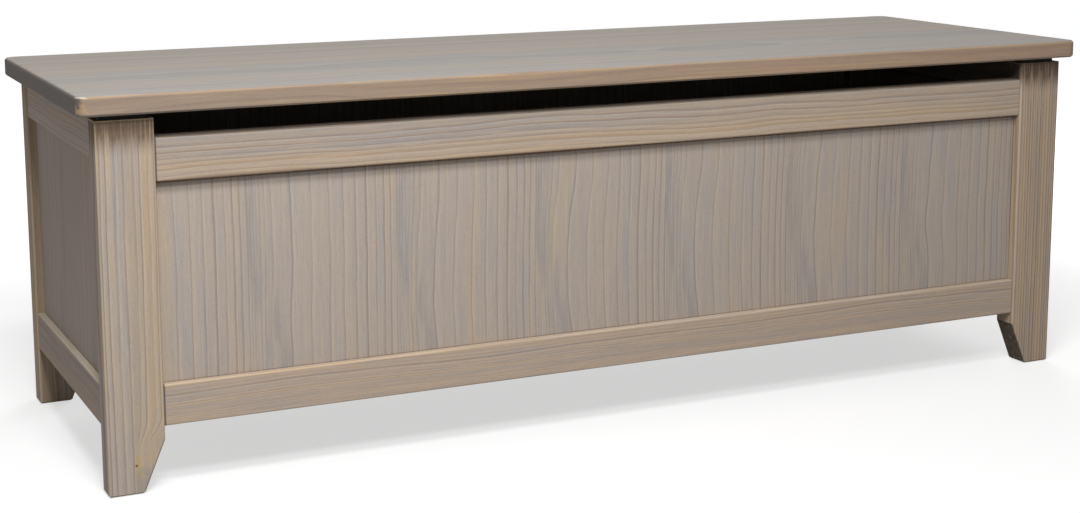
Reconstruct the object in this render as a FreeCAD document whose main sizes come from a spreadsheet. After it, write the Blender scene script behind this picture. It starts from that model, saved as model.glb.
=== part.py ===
"""Blanket chest in solid pine: framed and panelled box on tapered legs, hinged lid.

Frame: X runs along the chest, Y from front (-) to back (+), Z up.  The origin is on the
floor under the middle of the lid.  Sizes are in millimetres.
"""
import FreeCAD, Part
import math
import os
import Sketcher

Vector = FreeCAD.Vector
LEFT, RIGHT = -1, 1
FRONT, BACK = -1, 1
SIDE_NAMES = {LEFT: "left", RIGHT: "right"}
END_NAMES = {FRONT: "front", BACK: "back"}

DIMENSIONS = {
    # box
    "box_width": 1164,
    "box_depth": 382,
    "overall_height": 398,
    # posts, which run down into the legs
    "post_width": 57.5,
    "post_thickness": 28,
    "foot_width": 35.5,
    "taper_height": 52,
    "post_arris": 2.5,
    "foot_bevel": 1.5,
    # rails
    "rail_thickness": 20,
    "rail_arris": 2,
    "long_setback": 2.2,
    "side_setback": 1.4,
    "bottom_rail_low": 65,
    "bottom_rail_height": 42,
    "front_rail_top": 353.5,
    "front_rail_height": 44,
    "rim_rail_height": 40.5,
    "tenon_thickness": 8,
    "tenon_length": 22,
    "side_tenon_length": 16,
    "glue_space": 1,
    # panels, held loose in grooves
    "panel_thickness": 6,
    "panel_setback": 8,
    "panel_entry": 7,
    "groove_depth": 8,
    # bottom
    "bottom_thickness": 6,
    "bottom_play": 0.5,
    "cleat_size": 18,
    "cleat_rise": 2,
    "cleat_end_play": 3,
    "bearer_width": 44,
    "brad_size": 1.2,
    "brad_length": 30,
    "long_brad_reach": 460,
    "short_brad_reach": 110,
    # lid
    "lid_thickness": 20,
    "lid_side_overhang": 18,
    "lid_front_overhang": 11,
    "lid_back_overhang": 5,
    "lid_corner_radius": 14,
    "lid_edge_radius": 3.5,
    "lid_edge_bevel": 2,
    "lid_gap": 5.5,
    "lid_open_angle": 95,
    "batten_place": 330,
    "batten_width": 42,
    "batten_thickness": 14,
    "batten_front": -100,
    "batten_length": 238,
    "batten_bevel": 8,
    "batten_brad_reach": 85,
    # buffers on the front posts
    "buffer_length": 46,
    "buffer_width": 14,
    "buffer_play": 0.3,
    # butt hinges
    "hinge_place": 400,
    "hinge_length": 50,
    "leaf_thickness": 1.2,
    "leaf_width": 20,
    "knuckle_radius": 2.4,
    "knuckle_gap": 0.3,
    "knuckle_clearance": 0.4,
    "pin_radius": 1.2,
    "pin_clearance": 0.05,
    "hinge_axis_standoff": 0.2,
    "hinge_screw_pitch": 28,
    "hinge_screw_inset": 11.5,
    # flat-headed wood screws, let flush into the metalwork
    "screw_head_radius": 3,
    "screw_shank_radius": 1.6,
    "screw_length": 14,
    # slotted lid stay on the left side
    "stay_radius": 150,
    "stay_pivot_angle": 3.2,
    "stay_stud_angle": 9.7,
    "stay_thickness": 1.8,
    "stay_half_width": 7,
    "stay_standoff": 2.3,
    "stay_stud_radius": 3,
    "stay_slot_play": 0.3,
    "stay_face_play": 0.3,
    "stay_head_radius": 5.5,
    "stay_head_height": 1.4,
    "stay_plate_thickness": 1.4,
    "stay_plate_length": 40,
    "stay_plate_height": 15,
    "stay_screw_pitch": 26,
    "rivet_radius": 1.5,
    "rivet_head_radius": 4,
    "rivet_head_height": 1.2,
    "bracket_width": 36,
    "bracket_reach": 18,
    "tab_width": 16,
    "tab_bevel": 5,
}

LEVELS = ("bottom", "top")
HINGE_KNUCKLES = 3
STUD_HEAD_CORNERS = 6
# places of the brads, as shares of their reach from the middle of the piece
LONG_CLEAT_STEPS = (-1, -0.4, 0.4, 1)
SIDE_CLEAT_STEPS = (-1, 1)
BATTEN_STEPS = (-1, 0, 1)

# rough places that the sketches' constraints then move
ROUGH_RADIUS = 10
ROUGH_CENTRE = 5

doc = FreeCAD.newDocument("blanket_chest")
nodes = []


def fill_sheet():
    """Put every driving dimension in the spreadsheet under its own alias."""
    sheet = doc.addObject("Spreadsheet::Sheet", "dims")
    for row, (alias, value) in enumerate(DIMENSIONS.items(), 1):
        sheet.set("A" + str(row), alias)
        sheet.set("B" + str(row), str(value))
        sheet.setAlias("B" + str(row), alias)
    doc.recompute()


# ---------------------------------------------------------------- places, as expressions

def total(*terms):
    """Add up terms, each an expression."""
    return "(" + " + ".join("(" + str(term) + ")" for term in terms) + ")"


def less(first, *others):
    """Take the other terms from the first."""
    return "(" + " - ".join("(" + str(term) + ")" for term in (first,) + others) + ")"


def around(middle, size):
    """Low and high edge of a stretch with its middle on a place."""
    return less(middle, size + " / 2"), total(middle, size + " / 2")


LID_DEPTH = "(dims.box_depth + dims.lid_front_overhang + dims.lid_back_overhang)"
FRONT_FACE = less("dims.lid_front_overhang", LID_DEPTH + " / 2")
BACK_FACE = less(LID_DEPTH + " / 2", "dims.lid_back_overhang")
BOX_MIDDLE_Y = "(" + total(FRONT_FACE, BACK_FACE) + " / 2)"
LONG_RAIL_INNER = "(dims.long_setback + dims.rail_thickness)"
SHORT_RAIL_INNER = "(dims.side_setback + dims.rail_thickness)"
TENON_DEPTH = "(dims.rail_thickness - dims.tenon_thickness) / 2"

LID_UNDER = less("dims.overall_height", "dims.lid_thickness")
RIM = less(LID_UNDER, "dims.lid_gap")
BOTTOM_RAIL_TOP = total("dims.bottom_rail_low", "dims.bottom_rail_height")
CLEAT_LOW = total("dims.bottom_rail_low", "dims.cleat_rise")
CLEAT_TOP = total(CLEAT_LOW, "dims.cleat_size")
LAP = total(CLEAT_LOW, "dims.cleat_size / 2")
BRAD_Z = total(CLEAT_LOW, "dims.cleat_size / 4")
BATTEN_LOW = less(LID_UNDER, "dims.batten_thickness")

HINGE_Z = less(LID_UNDER, "dims.lid_gap / 2")
HINGE_Y = total(less(BACK_FACE, "dims.long_setback"), "dims.hinge_axis_standoff",
                "dims.knuckle_radius")
HINGE_SCREW_Y = less(HINGE_Y, "dims.hinge_screw_inset")
LID_LEAF_LOW = less(LID_UNDER, "dims.leaf_thickness")
CASE_LEAF_TOP = total(RIM, "dims.leaf_thickness")
KNUCKLE_LENGTH = "((dims.hinge_length - {0} * dims.knuckle_gap) / {1})".format(
    HINGE_KNUCKLES - 1, HINGE_KNUCKLES)


def across(side, depth):
    """X of the place that lies depth inside the outer face of the left or right side."""
    return "({0}) * (dims.box_width / 2 - ({1}))".format(side, depth)


def along(end, depth):
    """Y of the place that lies depth inside the front or back face."""
    return total(FRONT_FACE, depth) if end == FRONT else less(BACK_FACE, depth)


def rail_heights(end, level):
    """Low and high edge of a rail: the front's top rail is set low, the others at the rim."""
    if level == "bottom":
        return "dims.bottom_rail_low", BOTTOM_RAIL_TOP
    if end == FRONT:
        return less("dims.front_rail_top", "dims.front_rail_height"), "dims.front_rail_top"
    return less(RIM, "dims.rim_rail_height"), RIM


def tenon_heights(end, level):
    """Low and high edge of a rail's tenon, shouldered above and below."""
    low, high = rail_heights(end, level)
    return total(low, "dims.groove_depth"), less(high, "dims.groove_depth")


def panel_heights(end, depth):
    """Low and high edge of a stretch that enters the bottom and top rails by a depth."""
    return less(BOTTOM_RAIL_TOP, depth), total(rail_heights(end, "top")[0], depth)


def long_span(end, start, thickness):
    """Front and back edge of a layer that starts at a depth inside the front or back face."""
    return along(end, start), along(end, total(start, thickness))


def side_span(side, start, thickness):
    """Both edges in X of a layer that starts at a depth inside the left or right face."""
    return across(side, start), across(side, total(start, thickness))


def long_tenon_span(end):
    return long_span(end, total("dims.long_setback", TENON_DEPTH), "dims.tenon_thickness")


def side_tenon_span(side):
    return side_span(side, total("dims.side_setback", TENON_DEPTH), "dims.tenon_thickness")


def long_panel_span(end):
    return long_span(end, total("dims.long_setback", "dims.panel_setback"),
                     "dims.panel_thickness")


def side_panel_span(side):
    return side_span(side, total("dims.side_setback", "dims.panel_setback"),
                     "dims.panel_thickness")


# ---------------------------------------------------------------- modelling steps

def new_body(label):
    """Start a sub-part; its label names its file."""
    body = doc.addObject("PartDesign::Body", label)
    body.Label = label
    body.AllowCompound = True
    nodes.append(body)
    return body


def plane_of(body, role):
    return next(item for item in body.Origin.OriginFeatures if item.Role == role)


def new_sketch(body, name, role, offset="0"):
    """Sketch on one of the body's own origin planes, offset along that plane's normal."""
    sketch = body.newObject("Sketcher::SketchObject", name)
    sketch.AttachmentSupport = [(plane_of(body, role), "")]
    sketch.MapMode = "FlatFace"
    sketch.setExpression("AttachmentOffset.Base.z", offset)
    return sketch


def bind(sketch, constraint, name, expression):
    """Add a driving constraint with a name and tie it to an expression."""
    index = sketch.addConstraint(constraint)
    sketch.renameConstraint(index, name)
    sketch.setExpression("Constraints." + name, expression)


def draw_outline(sketch, points):
    """Closed outline of straight lines whose corners are pairs of expressions."""
    count = len(points)
    start = [Vector(ROUGH_RADIUS * math.cos(2 * math.pi * turn / count),
                    ROUGH_RADIUS * math.sin(2 * math.pi * turn / count), 0)
             for turn in range(count)]
    for turn in range(count):
        sketch.addGeometry(Part.LineSegment(start[turn], start[(turn + 1) % count]), False)
    for turn in range(count):
        sketch.addConstraint(Sketcher.Constraint("Coincident", turn, 2, (turn + 1) % count, 1))
    for turn, (first, second) in enumerate(points):
        bind(sketch, Sketcher.Constraint("DistanceX", -1, 1, turn, 1, start[turn].x),
             "across_" + str(turn), first)
        bind(sketch, Sketcher.Constraint("DistanceY", -1, 1, turn, 1, start[turn].y),
             "up_" + str(turn), second)


def draw_circle(sketch, first, second, radius, number=1):
    """Circle whose centre and radius are expressions."""
    centre = Vector(ROUGH_CENTRE, ROUGH_CENTRE, 0)
    rough = Part.Circle(centre, Vector(0, 0, 1), ROUGH_RADIUS)
    index = sketch.addGeometry(rough, False)
    bind(sketch, Sketcher.Constraint("Radius", index, ROUGH_RADIUS),
         "radius_" + str(number), radius)
    bind(sketch, Sketcher.Constraint("DistanceX", -1, 1, index, 3, ROUGH_CENTRE),
         "across_" + str(number), first)
    bind(sketch, Sketcher.Constraint("DistanceY", -1, 1, index, 3, ROUGH_CENTRE),
         "up_" + str(number), second)


def rectangle(low_x, high_x, low_y, high_y):
    return [(low_x, low_y), (high_x, low_y), (high_x, high_y), (low_x, high_y)]


def extrude(body, name, sketch, length, cut=False):
    """Pad a sketch along its plane's normal, or cut away that same space."""
    feature = body.newObject("PartDesign::Pocket" if cut else "PartDesign::Pad", name)
    feature.Profile = sketch
    feature.setExpression("Length", length)
    feature.Reversed = cut
    return feature


def block(body, name, outline, low, high, cut=False):
    """Upright prism from height low to height high, added or cut away."""
    sketch = new_sketch(body, name + "_outline", "XY_Plane", low)
    draw_outline(sketch, outline)
    return extrude(body, name, sketch, less(high, low), cut)


def rod(body, name, along_y, up, radius, low_x, high_x, cut=False):
    """Round rod or hole along X."""
    sketch = new_sketch(body, name + "_circle", "YZ_Plane", low_x)
    draw_circle(sketch, along_y, up, radius)
    return extrude(body, name, sketch, less(high_x, low_x), cut)


def edges_that(test, feature):
    """The feature's edges that pass the test, as a dress-up feature takes them."""
    doc.recompute()
    picked = ["Edge" + str(number) for number, edge in enumerate(feature.Shape.Edges, 1)
              if test(edge)]
    return feature, picked


def round_edges(body, name, feature, radius, test):
    fillet = body.newObject("PartDesign::Fillet", name)
    fillet.Base = edges_that(test, feature)
    fillet.setExpression("Radius", radius)
    return fillet


def bevel_edges(body, name, feature, size, test):
    chamfer = body.newObject("PartDesign::Chamfer", name)
    chamfer.Base = edges_that(test, feature)
    chamfer.setExpression("Size", size)
    return chamfer


def runs_along(direction):
    """Test for straight edges along a direction."""
    def test(edge):
        span = edge.Vertexes[-1].Point.sub(edge.Vertexes[0].Point)
        return span.Length > 1 and abs(abs(span.dot(direction)) - span.Length) < 1e-6
    return test


def outer_arris(board, grain, outward):
    """Test for the two long edges of a board's outer face."""
    def test(edge):
        offset = edge.CenterOfMass.sub(board.Shape.CenterOfMass)
        return runs_along(grain)(edge) and offset.dot(outward) > 0
    return test


def post_arris(stock, side, end):
    """Test for a post's long edges, all but the one that faces into the box."""
    def test(edge):
        offset = edge.CenterOfMass.sub(stock.Shape.CenterOfMass)
        faces_out = offset.x * side > 0 or offset.y * end > 0
        return edge.BoundBox.ZLength > 1 and faces_out
    return test


def lies_at(height):
    """Test for edges in the level plane at a height."""
    def test(edge):
        return all(abs(vertex.Z - height) < 1e-6 for vertex in edge.Vertexes)
    return test


lies_at_foot = lies_at(0)
lies_on_top = lies_at(DIMENSIONS["overall_height"])
lies_on_lid_under = lies_at(DIMENSIONS["overall_height"] - DIMENSIONS["lid_thickness"])


def turn_profile(body, name, place, points, role, turn):
    """Revolve a half profile about its own vertical axis.

    The sketch origin goes to place, in the plane's own coordinates, and turn spins the
    sketch in its plane so that the axis points the way the piece is driven.
    """
    sketch = new_sketch(body, name + "_profile", role, place[2])
    sketch.AttachmentOffset = FreeCAD.Placement(
        Vector(0, 0, 0), FreeCAD.Rotation(Vector(0, 0, 1), turn))
    sketch.setExpression("AttachmentOffset.Base.x", place[0])
    sketch.setExpression("AttachmentOffset.Base.y", place[1])
    draw_outline(sketch, points)
    feature = body.newObject("PartDesign::Revolution", name)
    feature.Profile = sketch
    feature.ReferenceAxis = (sketch, ["V_Axis"])
    feature.Angle = 360
    return feature


def screws(body, prefix, places, head_height, role, turn):
    """A flat-headed screw at each place, its head as deep as the metal that it holds."""
    head, shank = "dims.screw_head_radius", "dims.screw_shank_radius"
    profile = [("0", "0"), (head, "0"), (head, head_height), (shank, head_height),
               (shank, "dims.screw_length"), ("0", "dims.screw_length")]
    for number, place in enumerate(places, 1):
        turn_profile(body, "{0}_{1}".format(prefix, number), place, profile, role, turn)


def screw_holes(body, places, role):
    """Holes for the screw heads, right through the metal."""
    sketch = new_sketch(body, "screw_holes_circles", role)
    for number, (first, second) in enumerate(places, 1):
        draw_circle(sketch, first, second, "dims.screw_head_radius", number)
    pocket = body.newObject("PartDesign::Pocket", "screw_holes")
    pocket.Profile = sketch
    pocket.Type = "ThroughAll"
    pocket.Midplane = True


# ---------------------------------------------------------------- posts and rails

def make_post(side, end):
    """Corner post: tapered foot, grooves for two panels and mortises for four rails."""
    body = new_body("{0}_{1}_post".format(END_NAMES[end], SIDE_NAMES[side]))
    back_edge = along(end, "dims.post_thickness") if end == FRONT else BACK_FACE
    sketch = new_sketch(body, "post_outline", "XZ_Plane", "-1 * " + back_edge)
    draw_outline(sketch, [
        (across(side, "0"), "0"),
        (across(side, "dims.foot_width"), "0"),
        (across(side, "dims.post_width"), "dims.taper_height"),
        (across(side, "dims.post_width"), RIM),
        (across(side, "0"), RIM),
    ])
    stock = extrude(body, "post_board", sketch, "dims.post_thickness")
    rounded = round_edges(body, "post_arrises", stock, "dims.post_arris",
                          post_arris(stock, side, end))
    bevel_edges(body, "foot_bevel", rounded, "dims.foot_bevel", lies_at_foot)

    inner = "dims.post_width"
    tenon_end = less(inner, "dims.tenon_length", "dims.glue_space")
    for level in LEVELS:
        block(body, "long_mortise_" + level, rectangle(
            across(side, inner), across(side, tenon_end), *long_tenon_span(end)),
            *tenon_heights(end, level), cut=True)
    block(body, "long_groove", rectangle(
        across(side, inner), across(side, less(inner, "dims.groove_depth")),
        *long_panel_span(end)), *panel_heights(end, "dims.groove_depth"), cut=True)

    inner = "dims.post_thickness"
    tenon_end = less(inner, "dims.side_tenon_length", "dims.glue_space")
    for level in LEVELS:
        block(body, "side_mortise_" + level, rectangle(
            *side_tenon_span(side), along(end, inner), along(end, tenon_end)),
            *tenon_heights(BACK, level), cut=True)
    block(body, "side_groove", rectangle(
        *side_panel_span(side), along(end, inner), along(end, less(inner, "dims.groove_depth"))),
        *panel_heights(BACK, "dims.groove_depth"), cut=True)


def groove_heights(level, low, high):
    """The panel groove runs along a bottom rail's upper edge and a top rail's lower edge."""
    if level == "bottom":
        return less(high, "dims.groove_depth"), high
    return low, total(low, "dims.groove_depth")


def make_long_rail(end, level):
    """Front or back rail: board, tenon at each end, groove for the panel."""
    body = new_body("{0}_{1}_rail".format(END_NAMES[end], level))
    low, high = rail_heights(end, level)
    inner = "dims.post_width"
    ends = (across(LEFT, inner), across(RIGHT, inner))
    faces = long_span(end, "dims.long_setback", "dims.rail_thickness")
    board = block(body, "rail_board", rectangle(*ends, *faces), low, high)
    round_edges(body, "rail_arrises", board, "dims.rail_arris",
                outer_arris(board, Vector(1, 0, 0), Vector(0, end, 0)))
    tip = less(inner, "dims.tenon_length")
    block(body, "rail_tenons", rectangle(
        across(LEFT, tip), across(RIGHT, tip), *long_tenon_span(end)),
        *tenon_heights(end, level))
    block(body, "rail_groove", rectangle(*ends, *long_panel_span(end)),
          *groove_heights(level, low, high), cut=True)


def make_side_rail(side, level):
    """Side rail: board, tenon at each end, groove for the panel."""
    body = new_body("{0}_{1}_rail".format(SIDE_NAMES[side], level))
    low, high = rail_heights(BACK, level)
    inner = "dims.post_thickness"
    ends = (along(FRONT, inner), along(BACK, inner))
    faces = side_span(side, "dims.side_setback", "dims.rail_thickness")
    board = block(body, "rail_board", rectangle(*faces, *ends), low, high)
    round_edges(body, "rail_arrises", board, "dims.rail_arris",
                outer_arris(board, Vector(0, 1, 0), Vector(side, 0, 0)))
    tip = less(inner, "dims.side_tenon_length")
    block(body, "rail_tenons", rectangle(
        *side_tenon_span(side), along(FRONT, tip), along(BACK, tip)),
        *tenon_heights(BACK, level))
    block(body, "rail_groove", rectangle(*side_panel_span(side), *ends),
          *groove_heights(level, low, high), cut=True)


# ---------------------------------------------------------------- panels and bottom

def make_long_panel(end):
    """Front or back panel, loose in its grooves."""
    body = new_body(END_NAMES[end] + "_panel")
    reach = less("dims.post_width", "dims.panel_entry")
    block(body, "panel_board", rectangle(
        across(LEFT, reach), across(RIGHT, reach), *long_panel_span(end)),
        *panel_heights(end, "dims.panel_entry"))


def make_side_panel(side):
    """Side panel, loose in its grooves."""
    body = new_body(SIDE_NAMES[side] + "_panel")
    reach = less("dims.post_thickness", "dims.panel_entry")
    block(body, "panel_board", rectangle(
        *side_panel_span(side), along(FRONT, reach), along(BACK, reach)),
        *panel_heights(BACK, "dims.panel_entry"))


def make_bottom():
    """Bottom board, notched round the four posts."""
    body = new_body("bottom_panel")
    wide = total(SHORT_RAIL_INNER, "dims.bottom_play")
    narrow = total("dims.post_width", "dims.bottom_play")
    deep = total(LONG_RAIL_INNER, "dims.bottom_play")
    shallow = total("dims.post_thickness", "dims.bottom_play")
    quarter = [(narrow, deep), (narrow, shallow), (wide, shallow)]
    outline = []
    for side, end in ((LEFT, FRONT), (LEFT, BACK), (RIGHT, BACK), (RIGHT, FRONT)):
        corner = [(across(side, depth_x), along(end, depth_y)) for depth_x, depth_y in quarter]
        outline += corner if side * end > 0 else corner[::-1]
    block(body, "bottom_board", outline, CLEAT_TOP, total(CLEAT_TOP, "dims.bottom_thickness"))


def make_long_cleat(end):
    """Batten under the bottom's long edge, notched for the middle bearer."""
    body = new_body(END_NAMES[end] + "_cleat")
    reach = total("dims.post_width", "dims.cleat_end_play")
    faces = long_span(end, LONG_RAIL_INNER, "dims.cleat_size")
    block(body, "cleat_stick", rectangle(across(LEFT, reach), across(RIGHT, reach), *faces),
          CLEAT_LOW, CLEAT_TOP)
    block(body, "bearer_notch", rectangle(
        "-dims.bearer_width / 2", "dims.bearer_width / 2", *faces), LAP, CLEAT_TOP, cut=True)


def make_side_cleat(side):
    """Batten under the bottom's short edge."""
    body = new_body(SIDE_NAMES[side] + "_cleat")
    reach = total("dims.post_thickness", "dims.cleat_end_play")
    faces = side_span(side, SHORT_RAIL_INNER, "dims.cleat_size")
    block(body, "cleat_stick", rectangle(*faces, along(FRONT, reach), along(BACK, reach)),
          CLEAT_LOW, CLEAT_TOP)


def make_bearer():
    """Cross bearer under the middle of the bottom, lapped over the long cleats."""
    body = new_body("bottom_bearer")
    front_end, front_lap = long_span(FRONT, LONG_RAIL_INNER, "dims.cleat_size")
    back_end, back_lap = long_span(BACK, LONG_RAIL_INNER, "dims.cleat_size")
    sketch = new_sketch(body, "bearer_side", "YZ_Plane", "-dims.bearer_width / 2")
    draw_outline(sketch, [
        (front_lap, CLEAT_LOW), (back_lap, CLEAT_LOW), (back_lap, LAP), (back_end, LAP),
        (back_end, CLEAT_TOP), (front_end, CLEAT_TOP), (front_end, LAP), (front_lap, LAP),
    ])
    extrude(body, "bearer_stick", sketch, "dims.bearer_width")


def make_cleat_brads():
    """Square brads driven through the glued cleats into the bottom rails."""
    body = new_body("cleat_brads")
    heights = around(BRAD_Z, "dims.brad_size")
    for end in (FRONT, BACK):
        start = total(LONG_RAIL_INNER, "dims.cleat_size")
        span = (along(end, start), along(end, less(start, "dims.brad_length")))
        for step in LONG_CLEAT_STEPS:
            middle = "dims.long_brad_reach * ({0})".format(step)
            block(body, "{0}_brad_{1}".format(END_NAMES[end], len(body.Group)),
                  rectangle(*around(middle, "dims.brad_size"), *span), *heights)
    for side in (LEFT, RIGHT):
        start = total(SHORT_RAIL_INNER, "dims.cleat_size")
        span = (across(side, start), across(side, less(start, "dims.brad_length")))
        for step in SIDE_CLEAT_STEPS:
            middle = "{0} + dims.short_brad_reach * ({1})".format(BOX_MIDDLE_Y, step)
            block(body, "{0}_brad_{1}".format(SIDE_NAMES[side], len(body.Group)),
                  rectangle(*span, *around(middle, "dims.brad_size")), *heights)


# ---------------------------------------------------------------- lid

def make_lid():
    """Glued-up lid with rounded corners and edges."""
    body = new_body("lid_panel")
    reach = "-dims.lid_side_overhang"
    half_depth = LID_DEPTH + " / 2"
    board = block(body, "lid_board", rectangle(
        across(LEFT, reach), across(RIGHT, reach), "-1 * " + half_depth, half_depth),
        LID_UNDER, "dims.overall_height")
    corners = round_edges(body, "lid_corners", board, "dims.lid_corner_radius",
                          runs_along(Vector(0, 0, 1)))
    upper = round_edges(body, "lid_upper_edge", corners, "dims.lid_edge_radius", lies_on_top)
    bevel_edges(body, "lid_lower_edge", upper, "dims.lid_edge_bevel", lies_on_lid_under)


def make_batten(side):
    """Cross batten under the lid with bevelled ends."""
    body = new_body(SIDE_NAMES[side] + "_lid_batten")
    start = "dims.batten_front"
    finish = "(dims.batten_front + dims.batten_length)"
    sketch = new_sketch(body, "batten_side", "YZ_Plane",
                        "{0} * dims.batten_place - dims.batten_width / 2".format(side))
    draw_outline(sketch, [
        (total(start, "dims.batten_bevel"), BATTEN_LOW),
        (less(finish, "dims.batten_bevel"), BATTEN_LOW),
        (finish, total(BATTEN_LOW, "dims.batten_bevel")), (finish, LID_UNDER),
        (start, LID_UNDER), (start, total(BATTEN_LOW, "dims.batten_bevel")),
    ])
    extrude(body, "batten_stick", sketch, "dims.batten_width")


def make_batten_brads():
    """Square brads driven up through the glued battens into the lid."""
    body = new_body("batten_brads")
    middle_y = "(dims.batten_front + dims.batten_length / 2)"
    for side in (LEFT, RIGHT):
        for step in BATTEN_STEPS:
            middle_x = "{0} * dims.batten_place + dims.batten_width / 4 * {1}".format(side, step)
            block(body, "{0}_brad_{1}".format(SIDE_NAMES[side], step + 2), rectangle(
                *around(middle_x, "dims.brad_size"),
                *around("{0} + dims.batten_brad_reach * {1}".format(middle_y, step),
                        "dims.brad_size")), BATTEN_LOW, total(BATTEN_LOW, "dims.brad_length"))


def make_buffers():
    """Rubber strips on the front posts, for the closed lid."""
    body = new_body("lid_buffers")
    for side in (LEFT, RIGHT):
        block(body, SIDE_NAMES[side] + "_buffer", rectangle(
            *around(across(side, "dims.post_width / 2"), "dims.buffer_length"),
            *around(along(FRONT, "dims.post_thickness / 2"), "dims.buffer_width")),
            RIM, less(LID_UNDER, "dims.buffer_play"))


# ---------------------------------------------------------------- butt hinges

def hinge_screw_xs(side):
    """X of the two screws in a hinge leaf."""
    return around("{0} * dims.hinge_place".format(side), "dims.hinge_screw_pitch")


def hinge_screws(body, side, height, turn):
    """The screws of one leaf, placed on the XZ plane, whose normal points to the front."""
    places = [(x_place, height, "-1 * " + HINGE_SCREW_Y) for x_place in hinge_screw_xs(side)]
    screws(body, SIDE_NAMES[side] + "_hinge_screw", places, "dims.leaf_thickness", "XZ_Plane",
           turn)


def knuckle_span(side, number):
    """Low and high X of one knuckle, counted from the hinge's left end."""
    start = "({0} * dims.hinge_place - dims.hinge_length / 2)".format(side)
    low = "({0} + {1} * ({2} + dims.knuckle_gap))".format(start, number, KNUCKLE_LENGTH)
    return low, total(low, KNUCKLE_LENGTH)


def make_leaf(side, carrier, numbers, low, high, bore_radius):
    """One hinge leaf: plate, tabs, knuckles, bore for the pin and screw holes."""
    body = new_body("{0}_hinge_{1}_leaf".format(SIDE_NAMES[side], carrier))
    ends = ("{0} * dims.hinge_place - dims.hinge_length / 2".format(side),
            "{0} * dims.hinge_place + dims.hinge_length / 2".format(side))
    edge = less(HINGE_Y, "dims.knuckle_radius", "dims.knuckle_clearance")
    free = less(HINGE_Y, "dims.leaf_width")
    block(body, "leaf_plate", rectangle(*ends, free, edge), low, high)
    for number in numbers:
        span = knuckle_span(side, number)
        block(body, "tab_" + str(number), rectangle(*span, edge, HINGE_Y), low, high)
        rod(body, "knuckle_" + str(number), HINGE_Y, HINGE_Z, "dims.knuckle_radius", *span)
    rod(body, "pin_bore", HINGE_Y, HINGE_Z, bore_radius, *ends, cut=True)
    screw_holes(body, [(x_place, HINGE_SCREW_Y) for x_place in hinge_screw_xs(side)],
                "XY_Plane")


def make_hinge(side):
    """Butt hinge: case leaf, lid leaf and the pin fixed in the case leaf."""
    make_leaf(side, "case", range(0, HINGE_KNUCKLES, 2), RIM, CASE_LEAF_TOP,
              "dims.pin_radius")
    make_leaf(side, "lid", range(1, HINGE_KNUCKLES, 2), LID_LEAF_LOW, LID_UNDER,
              "(dims.pin_radius + dims.pin_clearance)")
    body = new_body(SIDE_NAMES[side] + "_hinge_pin")
    rod(body, "pin", HINGE_Y, HINGE_Z, "dims.pin_radius",
        "{0} * dims.hinge_place - dims.hinge_length / 2".format(side),
        "{0} * dims.hinge_place + dims.hinge_length / 2".format(side))


# ---------------------------------------------------------------- lid stay
#
# The slotted arm turns on a rivet in the lid bracket and slides over a stud on the side
# rail.  Rivet and stud are equally far from the hinge axis, so the arm turns exactly half
# as far as the lid, and the slot's end meets the stud when the lid is fully open.

STAY_WALL = across(LEFT, SHORT_RAIL_INNER)
ARM_LOW = total(STAY_WALL, "dims.stay_standoff")
ARM_HIGH = total(ARM_LOW, "dims.stay_thickness")
TAB_LOW = total(ARM_HIGH, "dims.stay_face_play")
TAB_HIGH = total(TAB_LOW, "dims.stay_thickness")


def on_stay_circle(angle):
    """Y and Z of the point at an angle below level on the circle about the hinge axis."""
    return (less(HINGE_Y, "dims.stay_radius * cos({0})".format(angle)),
            less(HINGE_Z, "dims.stay_radius * sin({0})".format(angle)))


PIVOT_Y, PIVOT_Z = on_stay_circle("dims.stay_pivot_angle")
STUD_Y, STUD_Z = on_stay_circle("dims.stay_stud_angle")


def stay_chord(opened):
    """Distance from rivet to stud with the lid opened by an angle."""
    return "(2 * dims.stay_radius * sin((dims.stay_stud_angle - dims.stay_pivot_angle" \
           " + {0}) / 2))".format(opened)


def make_stay_arm():
    """Slotted arm, drawn hanging from its pivot and then leant onto the stud."""
    body = new_body("stay_arm")
    body.Placement = FreeCAD.Placement(Vector(0, 0, 0), FreeCAD.Rotation(Vector(1, 0, 0), 1))
    body.setExpression("Placement.Base.x", ARM_LOW)
    body.setExpression("Placement.Base.y", PIVOT_Y)
    body.setExpression("Placement.Base.z", PIVOT_Z)
    body.setExpression("Placement.Rotation.Angle",
                       "(dims.stay_pivot_angle + dims.stay_stud_angle) / 2")
    slot_half = "(dims.stay_stud_radius + dims.stay_slot_play)"
    slot_near = stay_chord("0")
    slot_far = stay_chord("dims.lid_open_angle")
    half = "dims.stay_half_width"
    bar = new_sketch(body, "arm_outline", "YZ_Plane")
    draw_outline(bar, rectangle("-1 * " + half, half, "-1 * " + slot_far, "0"))
    extrude(body, "arm_bar", bar, "dims.stay_thickness")
    for name, drop in (("pivot_end", "0"), ("free_end", slot_far)):
        rod(body, name, "0", "-1 * " + drop, half, "0", "dims.stay_thickness")
    slot = new_sketch(body, "slot_outline", "YZ_Plane")
    draw_outline(slot, rectangle("-1 * " + slot_half, slot_half, "-1 * " + slot_far,
                                 "-1 * " + slot_near))
    extrude(body, "slot", slot, "dims.stay_thickness", cut=True)
    for name, drop in (("slot_top", slot_near), ("slot_foot", slot_far)):
        rod(body, name, "0", "-1 * " + drop, slot_half, "0", "dims.stay_thickness", cut=True)
    rod(body, "rivet_hole", "0", "0", "(dims.rivet_radius + dims.pin_clearance)", "0",
        "dims.stay_thickness", cut=True)


def make_stay_rivet():
    """Rivet that joins arm and bracket: a head over the arm, its shank flush in the tab."""
    body = new_body("stay_rivet")
    head_high = less(ARM_LOW, "dims.stay_face_play")
    rod(body, "head", PIVOT_Y, PIVOT_Z, "dims.rivet_head_radius",
        less(head_high, "dims.rivet_head_height"), head_high)
    rod(body, "shank", PIVOT_Y, PIVOT_Z, "dims.rivet_radius", head_high, TAB_HIGH)


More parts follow.
